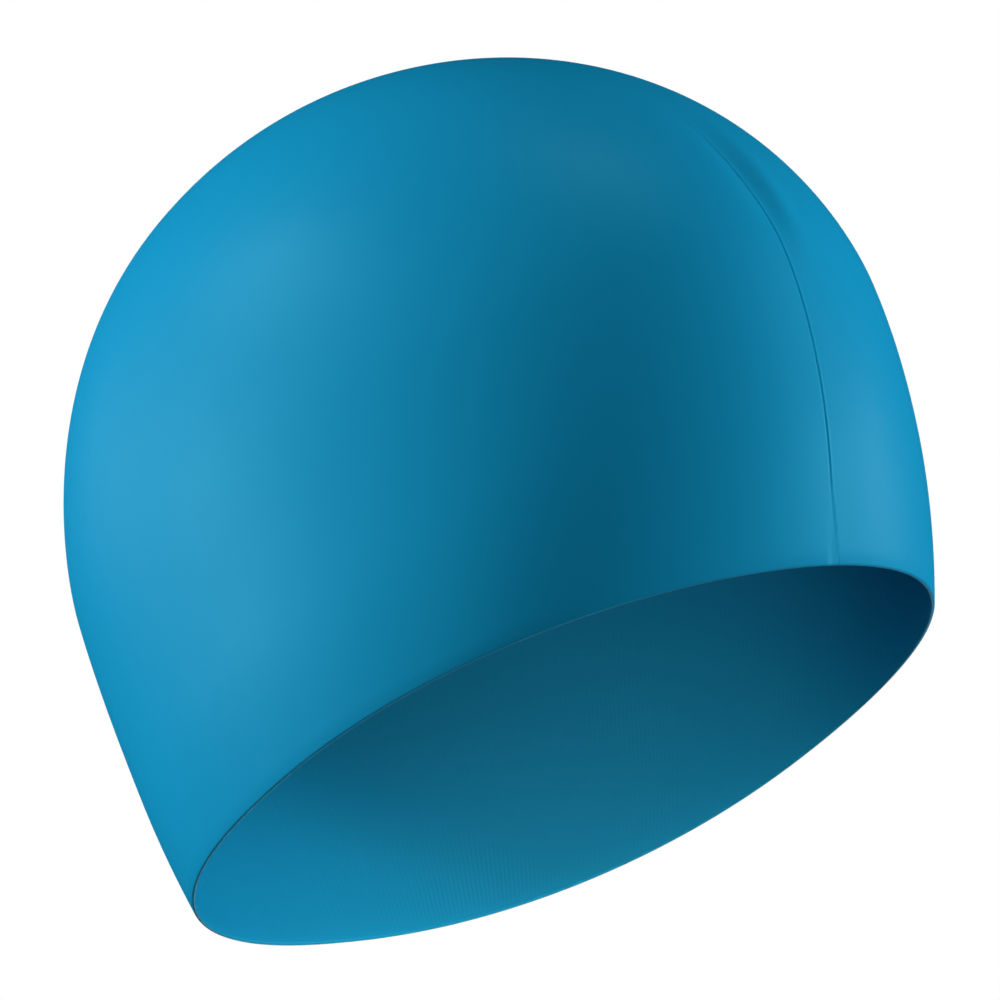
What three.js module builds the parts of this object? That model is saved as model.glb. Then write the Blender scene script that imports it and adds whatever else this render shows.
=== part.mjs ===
// Moulded silicone swim cap in its worn form: one thin elastic wall, open at the rim.
// Millimetres. +Z is up, -Y is the forehead side and +X is the wearer's left.
// The origin is the highest point of the inside, where the crown of the head carries the cap.

import * as THREE from "three";
import { ParametricGeometry } from "three/addons/geometries/ParametricGeometry.js";

// Reach of the outside from the crown's axis, measured along the plane of the rim.
const FRONT_REACH = 115;
const REAR_REACH = 90;
const SIDE_REACH = 77;

// Height of the outside of the crown over the front of the rim, square to the plane of the rim.
const CROWN_HEIGHT = 159;

// Thickness of the moulded wall, which is the same all over.
const WALL = 1;

// How far the plane of the rim is tilted on the head, with the forehead side raised.
const RIM_TILT_DEGREES = 31.2;

// Fine raised line that the two halves of the outer mould leave along the middle of the cap. It
// starts at nothing on the crown and reaches its full height over the fade length.
const SEAM_WIDTH = 0.9;
const SEAM_HEIGHT = 0.3;
const SEAM_FADE_LENGTH = 30;

// Outline of the cap in three directions. rimRiseShare and widestShare are shares of CROWN_HEIGHT,
// rimReachShare is the share of the reach that is left at the rim, and domePower sets how full the
// dome is above its widest height. A low power gives a pointed dome and a high one a boxy dome.
const PROFILES = {
  front: { rimRiseShare: 0, widestShare: 0.396, rimReachShare: 0.82, domePower: 1.7 },
  back: { rimRiseShare: 0.0345, widestShare: 0.484, rimReachShare: 0.94, domePower: 1.6 },
  side: { rimRiseShare: 0.0315, widestShare: 0.208, rimReachShare: 0.96, domePower: 3.3 },
};

// Roundness of the outline seen from above, where 2 is an ellipse and more is squarer.
const FRONT_ROUNDNESS = 2;
const REAR_ROUNDNESS = 2.25;

// Facets: columns in each quarter of the outline, rows from the rim to the crown, and steps
// around the rounded edge of the rim.
const QUARTER_COLUMNS = 18;
const ROWS = 22;
const EDGE_STEPS = 4;

const QUARTER_TURN = Math.PI / 2;

/** Reach of the outside in one direction at a height over the front of the rim. */
function reachAt(profile, reach, height) {
  const widest = profile.widestShare * CROWN_HEIGHT;
  if (height < widest) {
    const below = (widest - height) / widest;
    return reach * (1 - (1 - profile.rimReachShare) * below ** 2);
  }
  const above = Math.min(1, (height - widest) / (CROWN_HEIGHT - widest));
  return reach * Math.sqrt(1 - above ** profile.domePower);
}

/** A number raised to a power with its sign kept. */
function signedPower(value, power) {
  return Math.sign(value) * Math.abs(value) ** power;
}

/** Profile, reach and roundness of the end of the cap that an angle lies on. */
function endAt(angle) {
  return Math.sin(angle) > 0
    ? { profile: PROFILES.back, reach: REAR_REACH, roundness: REAR_ROUNDNESS }
    : { profile: PROFILES.front, reach: FRONT_REACH, roundness: FRONT_ROUNDNESS };
}

/** Height at an angle, where rise is 0 at the rim and 1 at the crown. */
function heightAt(angle, rise) {
  const sideShare = PROFILES.side.rimRiseShare * Math.cos(angle) ** 2;
  const endShare = endAt(angle).profile.rimRiseShare * Math.sin(angle) ** 2;
  const rim = (sideShare + endShare) * CROWN_HEIGHT;
  return rim + (CROWN_HEIGHT - rim) * Math.sin(rise * QUARTER_TURN);
}

/**
 * Point of the outside, without the seam line, in the frame of the rim. The angle is 0 at the
 * wearer's left and a quarter turn at the back.
 */
function outsidePoint(angle, rise) {
  const end = endAt(angle);
  const height = heightAt(angle, rise);
  const sideReach = reachAt(PROFILES.side, SIDE_REACH, height);
  const endReach = reachAt(end.profile, end.reach, height);
  return new THREE.Vector3(
    sideReach * signedPower(Math.cos(angle), 2 / end.roundness),
    endReach * signedPower(Math.sin(angle), 2 / end.roundness),
    height,
  );
}

/** Directions of the outside at a point: out of the wall, and down along it to the rim. */
function outsideDirections(angle, rise) {
  const step = 1e-4;
  if (rise > 1 - step) {
    return { out: new THREE.Vector3(0, 0, 1), down: new THREE.Vector3() };
  }
  const up = outsidePoint(angle, rise + step).sub(outsidePoint(angle, rise));
  const around = outsidePoint(angle + step, rise).sub(outsidePoint(angle - step, rise));
  const out = around.cross(up).normalize();
  return { out, down: up.normalize().negate() };
}

/** Angle from the middle of the cap at which the seam line meets the plain wall. */
function seamEdgeAngle(end, angle, rise) {
  const sideReach = reachAt(PROFILES.side, SIDE_REACH, heightAt(angle, rise));
  const share = SEAM_WIDTH / 2 / Math.max(sideReach, SEAM_WIDTH);
  return Math.min(Math.asin(share ** (end.roundness / 2)), QUARTER_TURN / QUARTER_COLUMNS);
}

/** Angle of a column. Each quarter has one column on the middle and one on the seam's edge. */
function columnAngle(column, rise) {
  const quarter = Math.min(3, Math.floor(column / QUARTER_COLUMNS));
  const place = column - quarter * QUARTER_COLUMNS;
  const leavesMiddle = quarter % 2 === 0;
  const fromMiddle = leavesMiddle ? place : QUARTER_COLUMNS - place;
  const middle = (leavesMiddle ? quarter - 1 : quarter) * QUARTER_TURN;
  if (fromMiddle === 0) return middle;
  const edge = seamEdgeAngle(endAt(middle), middle, rise);
  const share = (fromMiddle - 1) / (QUARTER_COLUMNS - 1);
  const turn = edge + (QUARTER_TURN - edge) * share;
  return leavesMiddle ? middle + turn : middle - turn;
}

/** Height of the seam line over the outside at a column, which is nothing off the middle. */
function seamHeightAt(column, point) {
  if (column % (2 * QUARTER_COLUMNS) !== 0) return 0;
  return SEAM_HEIGHT * Math.min(1, Math.abs(point.y) / SEAM_FADE_LENGTH);
}

/**
 * Stations of the wall's section, from the crown down the inside, around the edge of the rim and
 * up the outside. depth is the way in from the outside, and drop the way down past the rim.
 */
function wallStations() {
  const rows = [...Array(ROWS + 1).keys()].map((row) => row / ROWS);
  const steps = [...Array(EDGE_STEPS - 1).keys()].map((step) => ((step + 1) * Math.PI) / EDGE_STEPS);
  const inside = rows.map((rise) => ({ rise, depth: WALL, drop: 0 })).reverse();
  const edge = steps.map((turn) => ({
    rise: 0,
    depth: (WALL / 2) * (1 + Math.cos(turn)),
    drop: (WALL / 2) * Math.sin(turn),
  }));
  const outside = rows.map((rise) => ({ rise, depth: 0, drop: 0 }));
  return [...inside, ...edge, ...outside];
}

/** The closed wall of the cap in the frame of the rim. */
function shellGeometry() {
  const stations = wallStations();
  const columns = 4 * QUARTER_COLUMNS;
  const place = (around, along, target) => {
    const column = Math.round(around * columns) % columns;
    const { rise, depth, drop } = stations[Math.round(along * (stations.length - 1))];
    const angle = columnAngle(column, rise);
    const { out, down } = outsideDirections(angle, rise);
    target.copy(outsidePoint(angle, rise));
    const seam = depth === 0 ? seamHeightAt(column, target) : 0;
    target.addScaledVector(out, seam - depth).addScaledVector(down, drop);
  };
  return new ParametricGeometry(place, columns, stations.length - 1);
}

/** Highest point of the inside once the rim is tilted, on the middle of the forehead side. */
function crownSeat(tilt) {
  const rises = [...Array(1001).keys()].map((step) => step / 1000);
  const points = rises.map((rise) => {
    const { out } = outsideDirections(-QUARTER_TURN, rise);
    return outsidePoint(-QUARTER_TURN, rise).addScaledVector(out, -WALL).applyEuler(tilt);
  });
  return points.reduce((best, point) => (point.z > best.z ? point : best));
}

const silicone = new THREE.MeshStandardMaterial({
  name: "silicone rubber, moulded",
  color: 0x1c7fb4,
  roughness: 0.45,
  metalness: 0,
});

const tilt = new THREE.Euler(-THREE.MathUtils.degToRad(RIM_TILT_DEGREES), 0, 0);

const shell = new THREE.Mesh(shellGeometry(), silicone);
shell.name = "cap_shell";
shell.rotation.copy(tilt);
shell.position.copy(crownSeat(tilt)).negate();

const cap = new THREE.Group();
cap.name = "swim_cap";
cap.add(shell);

export default cap;
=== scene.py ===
"""Moulded silicone swim cap in its worn form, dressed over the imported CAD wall.

The wall is one closed mesh: a fine outside with the mould's middle line, a rounded edge at the rim
and an inside with moulded grip ribs. All lengths are metres, in the frame of the CAD model: +Z is
up, -Y is the forehead side and the origin is the highest point of the inside.
"""

import logging
import math
from dataclasses import dataclass, field
from typing import Any, Callable

import bmesh
import bpy
from mathutils import Matrix, Vector


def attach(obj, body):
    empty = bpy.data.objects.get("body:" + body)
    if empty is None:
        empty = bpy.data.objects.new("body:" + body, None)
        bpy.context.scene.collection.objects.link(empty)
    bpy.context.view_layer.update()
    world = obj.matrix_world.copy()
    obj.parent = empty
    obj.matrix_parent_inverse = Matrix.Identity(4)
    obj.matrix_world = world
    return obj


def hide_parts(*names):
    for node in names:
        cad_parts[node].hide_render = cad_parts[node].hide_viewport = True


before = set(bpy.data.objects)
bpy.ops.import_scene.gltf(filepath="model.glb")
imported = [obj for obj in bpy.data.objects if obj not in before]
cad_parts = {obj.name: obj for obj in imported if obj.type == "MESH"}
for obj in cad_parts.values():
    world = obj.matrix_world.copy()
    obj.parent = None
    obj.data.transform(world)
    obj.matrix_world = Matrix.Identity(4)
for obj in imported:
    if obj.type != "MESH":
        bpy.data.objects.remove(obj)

LOG = logging.getLogger("swim_cap")
MM = 0.001
WELD = 0.002 * MM
QUARTER_TURN = math.pi / 2
WHITE = (1.0, 1.0, 1.0, 1.0)

# Step in angle and in rise over which the directions of the wall are measured.
SMALL_STEP = 1e-4

# Places along the middle of the forehead side that are tried for the highest point.
SEAT_STEPS = 1000

# Direction of the photograph's camera, in degrees.
VIEW_AZIMUTH = -39.8
VIEW_ELEVATION = 1.2


def linear(hex_colour: str) -> tuple[float, float, float, float]:
    """Turn an sRGB hex colour into linear red, green, blue and a full alpha.

    Args:
        hex_colour: Six hex digits after a hash sign.

    Returns:
        The colour in Blender's linear space.
    """
    digits = hex_colour.lstrip("#")
    shares = [int(digits[i : i + 2], 16) / 255 for i in (0, 2, 4)]
    red, green, blue = (s / 12.92 if s <= 0.04045 else ((s + 0.055) / 1.055) ** 2.4 for s in shares)
    return red, green, blue, 1.0


def direction(azimuth: float, elevation: float) -> Vector:
    """Point on the unit sphere, where azimuth 0 lies at the forehead side.

    Args:
        azimuth: Degrees from the forehead side towards the wearer's left.
        elevation: Degrees above the horizon.

    Returns:
        The unit vector from the cap to that place.
    """
    turn = math.radians(azimuth)
    lift = math.radians(elevation)
    flat = math.cos(lift)
    return Vector((math.sin(turn) * flat, -math.cos(turn) * flat, math.sin(lift)))


def smooth_step(low: float, high: float, value: float) -> float:
    """Ease from 0 at low to 1 at high.

    Args:
        low: Value where the result leaves 0.
        high: Value where the result reaches 1.
        value: Value to place between them.

    Returns:
        The eased share.
    """
    share = min(1.0, max(0.0, (value - low) / (high - low)))
    return share * share * (3 - 2 * share)


def add_node(tree: Any, kind: str, settings: dict[str, Any] | None = None, **links: Any) -> Any:
    """Add a shader node with its settings and its inputs.

    Args:
        tree: Node tree that gets the node.
        kind: Blender's name of the node class.
        settings: Attributes of the node, such as its operation.
        **links: Inputs by name, with underscores for spaces, or by number after an underscore.
            An output socket is linked, and any other value is set on the input.

    Returns:
        The new node.
    """
    node = tree.nodes.new(kind)
    for name, value in (settings or {}).items():
        setattr(node, name, value)
    for name, value in links.items():
        key = int(name[1:]) if name[1:].isdigit() else name.replace("_", " ")
        socket = node.inputs[key]
        if isinstance(value, bpy.types.NodeSocket):
            tree.links.new(value, socket)
        else:
            socket.default_value = value
    return node


@dataclass(frozen=True)
class Profile:
    """Outline of the cap in one direction, as shares of its named sizes."""

    rim_rise_share: float
    widest_share: float
    rim_reach_share: float
    dome_power: float


@dataclass(frozen=True)
class CapForm:
    """Outer form of the worn cap, made square to its rim and then turned by rim_tilt degrees."""

    front_reach: float = 115 * MM
    rear_reach: float = 90 * MM
    side_reach: float = 77 * MM
    crown_height: float = 159 * MM
    wall: float = 1 * MM
    rim_tilt: float = 31.2
    front: Profile = Profile(0.0, 0.396, 0.82, 1.7)
    rear: Profile = Profile(0.0345, 0.484, 0.94, 1.6)
    side: Profile = Profile(0.0315, 0.208, 0.96, 3.3)
    front_roundness: float = 2.0
    rear_roundness: float = 2.25

    def reach(self, profile: Profile, full: float, height: float) -> float:
        """Reach of the outside in one direction at a height.

        Args:
            profile: Outline in that direction.
            full: Reach at the widest height.
            height: Height over the front of the rim.

        Returns:
            The reach from the crown's axis.
        """
        widest = profile.widest_share * self.crown_height
        if height < widest:
            below = (widest - height) / widest
            return full * (1 - (1 - profile.rim_reach_share) * below**2)
        above = min(1.0, (height - widest) / (self.crown_height - widest))
        return full * math.sqrt(max(0.0, 1 - above**profile.dome_power))

    def outside(self, angle: float, rise: float) -> Vector:
        """Point of the smooth outside in the frame of the rim.

        Args:
            angle: 0 at the wearer's left and a quarter turn at the back.
            rise: 0 at the rim and 1 at the crown.

        Returns:
            The point.
        """
        sideways, backwards = math.cos(angle), math.sin(angle)
        end, full, roundness = (
            (self.rear, self.rear_reach, self.rear_roundness)
            if backwards > 0
            else (self.front, self.front_reach, self.front_roundness)
        )
        rim = self.side.rim_rise_share * sideways**2 + end.rim_rise_share * backwards**2
        rim *= self.crown_height
        height = rim + (self.crown_height - rim) * math.sin(rise * QUARTER_TURN)
        power = 2 / roundness
        x = self.reach(self.side, self.side_reach, height) * math.copysign(abs(sideways) ** power, sideways)
        y = self.reach(end, full, height) * math.copysign(abs(backwards) ** power, backwards)
        return Vector((x, y, height))

    def directions(self, angle: float, rise: float) -> tuple[Vector, Vector]:
        """Directions of the outside at a place: out of the wall, and down along it.

        Args:
            angle: Angle of the place.
            rise: Rise of the place.

        Returns:
            Two unit vectors in the frame of the rim.
        """
        step = SMALL_STEP
        if rise > 1 - step:
            return Vector((0, 0, 1)), Vector((0, 0, 0))
        up = self.outside(angle, rise + step) - self.outside(angle, rise)
        around = self.outside(angle + step, rise) - self.outside(angle - step, rise)
        return around.cross(up).normalized(), -up.normalized()

    def tilt(self) -> Matrix:
        """Turn from the frame of the rim to the worn frame."""
        return Matrix.Rotation(-math.radians(self.rim_tilt), 4, "X")

    def seat(self) -> Vector:
        """Highest point of the inside in the worn frame, before it becomes the origin."""
        turn = self.tilt()
        points = []
        for step in range(SEAT_STEPS + 1):
            rise = step / SEAT_STEPS
            out, _ = self.directions(-QUARTER_TURN, rise)
            points.append(turn @ (self.outside(-QUARTER_TURN, rise) - out * self.wall))
        return max(points, key=lambda point: point.z)

    def to_worn(self) -> Matrix:
        """Whole move from the frame of the rim to the frame of the CAD model."""
        return Matrix.Translation(-self.seat()) @ self.tilt()

    def middle(self) -> Vector:
        """Middle of the crown's axis in the frame of the CAD model."""
        return self.to_worn() @ Vector((0, 0, self.crown_height / 2))


@dataclass(frozen=True)
class MouldLine:
    """Fine line of the outer mould's parting, with the soft forms that go with it.

    Just over the forehead's rim the line drifts off the middle, and a soft crease runs straight on.
    Higher up, where the stretched wall turns over to the crown, a shallow fold lies beside it: a
    valley next to the line and a low swell beyond the valley.
    """

    ridge_height: float = 0.08 * MM
    ridge_width: float = 0.3 * MM
    ridge_place: float = 0.32 * MM
    groove_depth: float = 0.1 * MM
    groove_width: float = 0.24 * MM
    groove_place: float = -0.16 * MM
    crown_fade: float = 45 * MM
    front_fade_start: float = 84 * MM
    front_fade_end: float = 110 * MM
    fork_height: float = 14 * MM
    fork_drift: float = 1.9 * MM
    fork_power: float = 1.2
    crease_depth: float = 0.12 * MM
    crease_width: float = 0.9 * MM
    fold_depth: float = 1.5 * MM
    fold_width: float = 4.2 * MM
    fold_place: float = 3.4 * MM
    fold_start: float = 52 * MM
    fold_middle: float = 80 * MM
    fold_end: float = 110 * MM

    def relief(self, point: Vector, above_rim: float) -> float:
        """Height of the outside over the smooth form.

        Args:
            point: Point of the smooth form, in the frame of the rim.
            above_rim: Height of the point over the rim.

        Returns:
            The relief, positive outwards.
        """
        at_forehead = point.y < 0
        forked = max(0.0, 1 - above_rim / self.fork_height) if at_forehead else 0.0
        across = point.x - self.fork_drift * forked**self.fork_power
        ridge = self.ridge_height * math.exp(-(((across - self.ridge_place) / self.ridge_width) ** 2))
        groove = self.groove_depth * math.exp(-(((across - self.groove_place) / self.groove_width) ** 2))
        relief = smooth_step(0.0, self.crown_fade, abs(point.y)) * (ridge - groove)
        if at_forehead:
            relief *= 1 - smooth_step(self.front_fade_start, self.front_fade_end, above_rim)
            crease = forked * math.exp(-((point.x / self.crease_width) ** 2))
            beside = (point.x - self.fold_place) / self.fold_width
            fold = beside * math.exp(-(beside**2))
            fold *= smooth_step(self.fold_start, self.fold_middle, above_rim)
            fold *= 1 - smooth_step(self.fold_middle, self.fold_end, above_rim)
            relief += self.fold_depth * fold - self.crease_depth * crease
        return relief


@dataclass(frozen=True)
class GripRibs:
    """Fine moulded ribs of the inside, which run straight up and down as the cap is worn."""

    count: int = 480
    height: float = 0.065 * MM
    lean: float = 1.25
    side_lean: float = 0.6
    lean_end: float = 0.5
    first_rise: float = 0.008
    fade_start: float = 0.56
    fade_end: float = 0.7

    def relief(self, angle: float, rise: float) -> float:
        """Height of the ribs over the smooth inside.

        Args:
            angle: Angle of the column, before it leans.
            rise: 0 at the rim and 1 at the crown.

        Returns:
            The relief, positive into the hollow.
        """
        starts = smooth_step(0.0, self.first_rise, rise)
        ends = 1 - smooth_step(self.fade_start, self.fade_end, rise)
        return self.height * starts * ends * (1 + math.cos(self.count * angle)) / 2

    def leaning(self, angle: float, rise: float) -> float:
        """Angle of a column at a rise, so that the ribs stand upright on the tilted cap.

        Args:
            angle: Angle of the column at the rim.
            rise: 0 at the rim and 1 at the crown.

        Returns:
            The leaning angle.
        """
        climbed = min(rise, self.lean_end)
        share = math.cos(angle) * (1 + self.side_lean * math.sin(angle) ** 2)
        return angle - self.lean * share * climbed * (1 - climbed / 2)


@dataclass(frozen=True)
class MouldedSilicone:
    """Silicone rubber, compression moulded in a bead-blasted mould.

    The blasted mould leaves a satin skin: broad soft reflections, no sharp highlight, and a very
    fine grain, drawn coarser than the real one of about 0.1 mm so that it shows. The stretched wall
    pulls slightly uneven, which mottles its shading faintly. The pigment is solid, so the colour
    hardly varies, and its gloss is tinted cyan.
    """

    name: str = "silicone rubber, moulded satin"
    colour: str = "#1B94C1"
    shade_colour: str = "#1790BD"
    roughness: float = 0.42
    roughness_swing: float = 0.04
    ior: float = 1.41
    grain_size: float = 0.35 * MM
    grain_depth: float = 0.004 * MM
    grain_detail: float = 2.0
    pull_size: float = 7 * MM
    pull_depth: float = 0.05 * MM
    pull_detail: float = 2.0
    cloud_size: float = 38 * MM
    cloud_detail: float = 3.0
    specular_level: float = 0.15
    gloss_tint: str = "#30E7FF"

    def noise(self, tree: Any, place: Any, size: float, detail: float) -> Any:
        """Add a noise pattern.

        Args:
            tree: Node tree that gets the pattern.
            place: Output socket of the coordinates.
            size: Size of the pattern's patches.
            detail: Number of finer layers.

        Returns:
            The output socket of the pattern's strength.
        """
        pattern = add_node(tree, "ShaderNodeTexNoise", Vector=place, Scale=1 / size, Detail=detail)
        return pattern.outputs["Fac"]

    def material(self) -> bpy.types.Material:
        """Make the material.

        Returns:
            The node material, which reads Object coordinates.
        """
        material = bpy.data.materials.new(self.name)
        material.use_nodes = True
        tree = material.node_tree
        shader = tree.nodes["Principled BSDF"]
        place = add_node(tree, "ShaderNodeTexCoord").outputs["Object"]
        clouds = self.noise(tree, place, self.cloud_size, self.cloud_detail)
        grain = self.noise(tree, place, self.grain_size, self.grain_detail)
        pull = self.noise(tree, place, self.pull_size, self.pull_detail)
        mix = add_node(
            tree,
            "ShaderNodeMix",
            {"data_type": "RGBA"},
            _0=clouds,
            _6=linear(self.colour),
            _7=linear(self.shade_colour),
        )
        satin = add_node(
            tree,
            "ShaderNodeMapRange",
            Value=clouds,
            To_Min=self.roughness - self.roughness_swing,
            To_Max=self.roughness + self.roughness_swing,
        )
        uneven = add_node(tree, "ShaderNodeBump", Strength=1.0, Distance=self.pull_depth, Height=pull)
        bump = add_node(
            tree,
            "ShaderNodeBump",
            Strength=1.0,
            Distance=self.grain_depth,
            Height=grain,
            Normal=uneven.outputs["Normal"],
        )
        tree.links.new(mix.outputs[2], shader.inputs["Base Color"])
        tree.links.new(satin.outputs["Result"], shader.inputs["Roughness"])
        tree.links.new(bump.outputs["Normal"], shader.inputs["Normal"])
        shader.inputs["IOR"].default_value = self.ior
        shader.inputs["Metallic"].default_value = 0.0
        shader.inputs["Specular IOR Level"].default_value = self.specular_level
        shader.inputs["Specular Tint"].default_value = linear(self.gloss_tint)
        return material


@dataclass
class CapSkin:
    """The moulded wall: outside, rounded rim edge and ribbed inside, as one closed mesh.

    middle_density is the share of the even spacing that is left between the columns at the mould
    line, and rib_row_power draws the rows of the inside together towards the rim.
    """

    form: CapForm = field(default_factory=CapForm)
    line: MouldLine = field(default_factory=MouldLine)
    ribs: GripRibs = field(default_factory=GripRibs)
    finish: MouldedSilicone = field(default_factory=MouldedSilicone)
    columns: int = 480
    rows: int = 92
    middle_density: float = 0.1
    rib_columns: int = 4
    rib_rows: int = 20
    rib_row_power: float = 1.5
    edge_steps: int = 6

    def dome(self, columns: int, rows: int, place: Callable[[float, float], Vector]) -> bmesh.types.BMesh:
        """Open wall bent from a flat grid, closed round the back and at the crown.

        Args:
            columns: Faces around it.
            rows: Rows of faces from the rim to the crown.
            place: Function from angle and rise to the point of the wall.

        Returns:
            The wall, open at its rim, with each point's angle in a layer.
        """
        dome = bmesh.new()
        bmesh.ops.create_grid(dome, x_segments=columns, y_segments=rows, size=1.0)
        angle_layer = dome.verts.layers.float.new("angle")
        for vert in dome.verts:
            angle = vert.co.x * math.pi
            vert[angle_layer] = angle
            vert.co = place(angle, (vert.co.y + 1) / 2)
        bmesh.ops.remove_doubles(dome, verts=dome.verts, dist=WELD)
        return dome

    def to_middle(self, angle: float) -> float:
        """Draw the columns together towards the mould line, where the relief is fine.

        Args:
            angle: Even angle of a column.

        Returns:
            The angle with the columns gathered at the front and back of the middle.
        """
        backwards = math.sin(angle)
        middle = QUARTER_TURN if abs(backwards) < SMALL_STEP else math.copysign(QUARTER_TURN, backwards)
        offset = (angle - middle + math.pi) % (2 * math.pi) - math.pi
        share = abs(offset) / QUARTER_TURN
        eased = self.middle_density * share + (1 - self.middle_density) * share**3
        return middle + math.copysign(eased * QUARTER_TURN, offset)

    def outer_point(self, angle: float, rise: float) -> Vector:
        """Point of the outside with the mould line.

        Args:
            angle: Even angle of the column.
            rise: 0 at the rim and 1 at the crown.

        Returns:
            The point in the frame of the rim.
        """
        gathered = self.to_middle(angle)
        point = self.form.outside(gathered, rise)
        out, _ = self.form.directions(gathered, rise)
        return point + out * self.line.relief(point, point.z - self.form.outside(gathered, 0).z)

    def inner_point(self, angle: float, rise: float) -> Vector:
        """Point of the inside with the grip ribs.

        Args:
            angle: Angle of the column at the rim.
            rise: Even rise of the row.

        Returns:
            The point in the frame of the rim.
        """
        drawn = rise**self.rib_row_power
        leaning = self.ribs.leaning(angle, drawn)
        out, _ = self.form.directions(leaning, drawn)
        depth = self.form.wall + self.ribs.relief(angle, drawn)
        return self.form.outside(leaning, drawn) - out * depth

    def edge_point(self, angle: float, turn: float) -> Vector:
        """Point of the rounded edge of the rim.

        Args:
            angle: Even angle of the column.
            turn: 0 at the outside and half a turn at the inside.

        Returns:
            The point in the frame of the rim.
        """
        gathered = self.to_middle(angle)
        out, down = self.form.directions(gathered, 0)
        half = self.form.wall / 2
        point = self.form.outside(gathered, 0)
        return point - out * half * (1 - math.cos(turn)) + down * half * math.sin(turn)

    def round_edge(self, shell: bmesh.types.BMesh) -> None:
        """Carry the outside around the rim to the start of the inside.

        Args:
            shell: Mesh of the outside, open at the rim.
        """
        angle_layer = shell.verts.layers.float["angle"]
        rim = [edge for edge in shell.edges if edge.is_boundary]
        for step in range(1, self.edge_steps):
            made = bmesh.ops.extrude_edge_only(shell, edges=rim)["geom"]
            rim = [item for item in made if isinstance(item, bmesh.types.BMEdge)]
            for vert in {vert for edge in rim for vert in edge.verts}:
                vert.co = self.edge_point(vert[angle_layer], math.pi * step / self.edge_steps)

    def build(self) -> bpy.types.Object:
        """Build the wall and dress it.

        Returns:
            The object of the whole cap.
        """
        outside = self.dome(self.columns, self.rows, self.outer_point)
        self.round_edge(outside)
        inside = self.dome(self.ribs.count * self.rib_columns, self.rib_rows, self.inner_point)
        inside_mesh = bpy.data.meshes.new("cap_inside")
        inside.to_mesh(inside_mesh)
        inside.free()
        outside.from_mesh(inside_mesh)
        bpy.data.meshes.remove(inside_mesh)

        open_edges = [edge for edge in outside.edges if edge.is_boundary]
        bmesh.ops.bridge_loops(outside, edges=open_edges)
        bmesh.ops.triangulate(outside, faces=[face for face in outside.faces if len(face.verts) > 4])
        bmesh.ops.recalc_face_normals(outside, faces=outside.faces)
        bmesh.ops.transform(outside, matrix=self.form.to_worn(), verts=outside.verts)
        return self.dressed(outside)

    def dressed(self, shell: bmesh.types.BMesh) -> bpy.types.Object:
        """Make the shaped mesh an object with its finish.

        Args:
            shell: Finished mesh, which is freed.

        Returns:
            The object.
        """
        mesh = bpy.data.meshes.new("cap_skin")
        shell.to_mesh(mesh)
        shell.free()
        mesh.shade_smooth()
        skin = bpy.data.objects.new("cap_skin", mesh)
        bpy.context.scene.collection.objects.link(skin)
        mesh.materials.append(self.finish.material())
        return skin


@dataclass(frozen=True)
class Panel:
    """A soft square light panel of the studio.

    Its angles are degrees, with the azimuth counted from the camera's, and its power is watts.
    """

    name: str
    azimuth: float
    elevation: float
    power: float
    distance: float = 1.6
    size: float = 0.5
    spread: float = 180.0
    colour: str = "#CBFCFF"
    aim: tuple[float, float, float] | None = None

    def build(self, centre: Vector) -> bpy.types.Object:
        """Add the panel to the scene.

        Args:
            centre: Point that the panel faces, unless it has its own aim.

        Returns:
            The light.
        """
        light = bpy.data.lights.new(self.name, "AREA")
        light.shape = "SQUARE"
        light.size = self.size
        light.spread = math.radians(self.spread)
        light.energy = self.power
        light.color = linear(self.colour)[:3]
        panel = bpy.data.objects.new(self.name, light)
        away = direction(VIEW_AZIMUTH + self.azimuth, self.elevation)
        panel.location = (Vector(self.aim) if self.aim else centre) + away * self.distance
        panel.rotation_euler = away.to_track_quat("Z", "Y").to_euler()
        panel.visible_camera = False
        bpy.context.scene.collection.objects.link(panel)
        return panel


# The left and right panels give the two broad highlights and leave the dark patch between them.
# The small warm one lights the inside through the rim.
PANELS = (
    Panel("left_high_panel", -95, 30, 11.6),
    Panel("left_panel", -95, 3, 9.9),
    Panel("left_middle_panel", -75, 3, 3.6),
    Panel("left_front_panel", -45, 3, 4.6),
    Panel("left_low_panel", -70, -22, 1.4),
    Panel("left_rear_panel", -120, 3, 1.75),
    Panel("right_panel", 80, 3, 13.0),
    Panel("right_high_panel", 80, 30, 4.4),
    Panel("right_front_panel", 60, 3, 3.9),
    Panel("right_rear_panel", 105, 3, 5.6),
    Panel("top_panel", 0, 88, 5.0),
    Panel("rim_panel", 0, -60, 1.0),
    Panel("rear_panel", 165, -45, 3.0),
    Panel(
        "hollow_panel",
        azimuth=-5.2,
        elevation=-6.7,
        power=0.05,
        distance=0.128,
        size=0.07,
        spread=90,
        colour="#FFD3C2",
        aim=(0.045, 0.035, -0.184),
    ),
)


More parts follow.
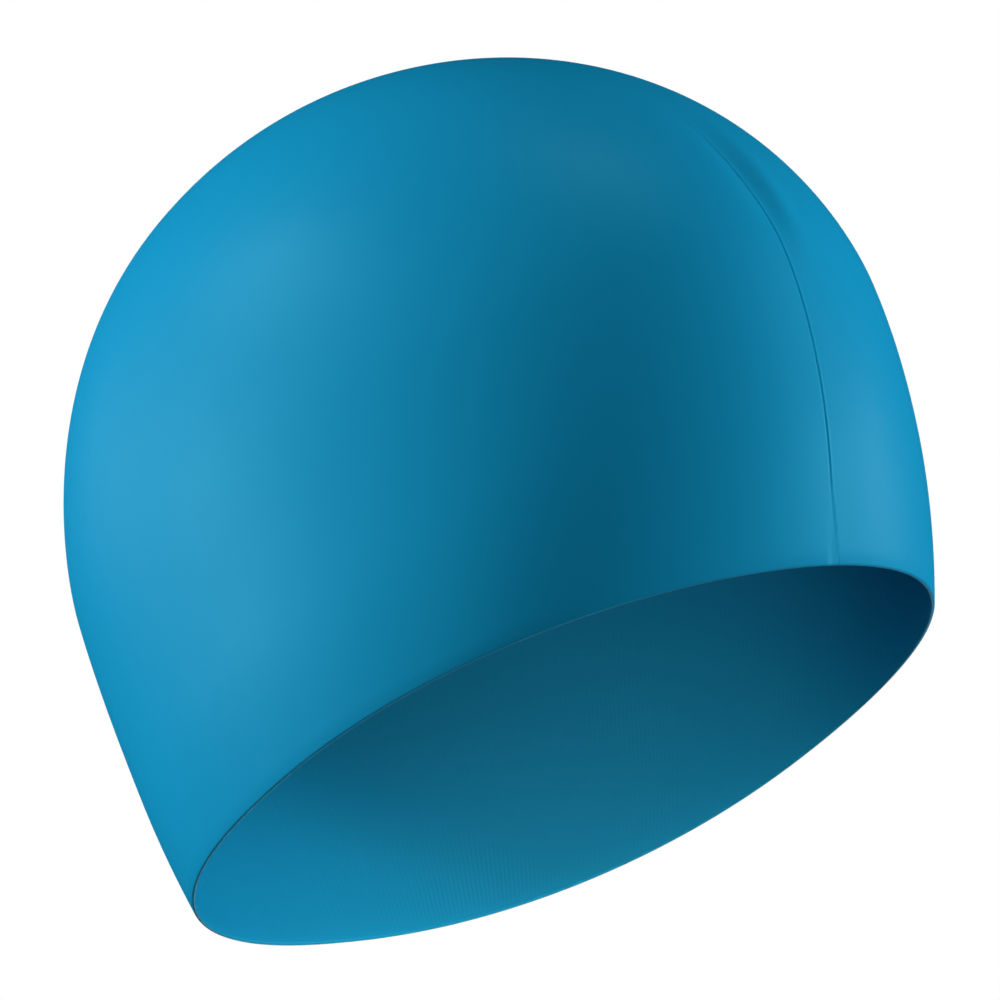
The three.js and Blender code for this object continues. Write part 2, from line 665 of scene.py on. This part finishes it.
@dataclass
class Studio:
    """Pale floor, white backdrop, light panels and the camera of the photograph."""

    form: CapForm = field(default_factory=CapForm)
    distance: float = 1.2
    lens: float = 200.5
    sensor_width: float = 36.0
    near_clip: float = 0.05
    far_clip: float = 50.0
    aim_right: float = 13.0 * MM
    aim_down: float = 9.2 * MM
    floor_height: float = -1.7
    floor_radius: float = 11.0
    floor_segments: int = 128
    floor_glow: float = 0.93

    def camera(self) -> bpy.types.Object:
        """Add the camera at the photograph's viewing angle.

        Returns:
            The camera.
        """
        centre = self.form.middle()
        back = direction(VIEW_AZIMUTH, VIEW_ELEVATION)
        right = Vector((0, 0, 1)).cross(back).normalized()
        up = back.cross(right)
        aim = centre + right * self.aim_right - up * self.aim_down
        data = bpy.data.cameras.new("camera")
        data.lens = self.lens
        data.sensor_width = self.sensor_width
        data.clip_start = self.near_clip
        data.clip_end = self.far_clip
        camera = bpy.data.objects.new("camera", data)
        camera.location = centre + back * self.distance
        camera.rotation_euler = (camera.location - aim).to_track_quat("Z", "Y").to_euler()
        bpy.context.scene.collection.objects.link(camera)
        bpy.context.scene.camera = camera
        return camera

    def floor(self) -> bpy.types.Object:
        """Add the round pale floor, well below the held cap. It sends no light to the cap.

        Returns:
            The floor.
        """
        mesh = bpy.data.meshes.new("floor")
        shape = bmesh.new()
        bmesh.ops.create_circle(
            shape, cap_ends=True, segments=self.floor_segments, radius=self.floor_radius
        )
        bmesh.ops.translate(shape, vec=(0, 0, self.floor_height), verts=shape.verts)
        shape.to_mesh(mesh)
        shape.free()
        floor = bpy.data.objects.new("floor", mesh)
        bpy.context.scene.collection.objects.link(floor)
        material = bpy.data.materials.new("studio floor, matt white paper lit from below")
        material.use_nodes = True
        tree = material.node_tree
        seen = add_node(tree, "ShaderNodeEmission", Color=WHITE, Strength=self.floor_glow)
        tree.links.new(seen.outputs["Emission"], tree.nodes["Material Output"].inputs["Surface"])
        floor.visible_diffuse = False
        floor.visible_glossy = False
        mesh.materials.append(material)
        return floor

    def world(self) -> None:
        """Give the scene a white backdrop that sends no light to the cap."""
        world = bpy.data.worlds.new("studio")
        world.use_nodes = True
        tree = world.node_tree
        tree.nodes.clear()
        seen = add_node(tree, "ShaderNodeBackground", Color=WHITE, Strength=1.0)
        dark = add_node(tree, "ShaderNodeBackground", Color=WHITE, Strength=0.0)
        path = add_node(tree, "ShaderNodeLightPath")
        mix = add_node(
            tree,
            "ShaderNodeMixShader",
            Fac=path.outputs["Is Camera Ray"],
            _1=dark.outputs[0],
            _2=seen.outputs[0],
        )
        output = add_node(tree, "ShaderNodeOutputWorld")
        tree.links.new(mix.outputs[0], output.inputs["Surface"])
        bpy.context.scene.world = world

    def build(self) -> None:
        """Build the whole studio."""
        self.camera()
        self.floor()
        self.world()
        centre = self.form.middle()
        for panel in PANELS:
            panel.build(centre)
        bpy.context.scene.view_settings.view_transform = "Standard"


def main() -> None:
    """Build the studio and the cap."""
    logging.basicConfig(level=logging.INFO, format="%(name)s: %(message)s")
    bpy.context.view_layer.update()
    Studio().build()
    skin = CapSkin().build()
    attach(skin, "root")
    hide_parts("cap_shell")
    LOG.info("cap_skin: %d faces", len(skin.data.polygons))


if __name__ == "__main__":
    main()
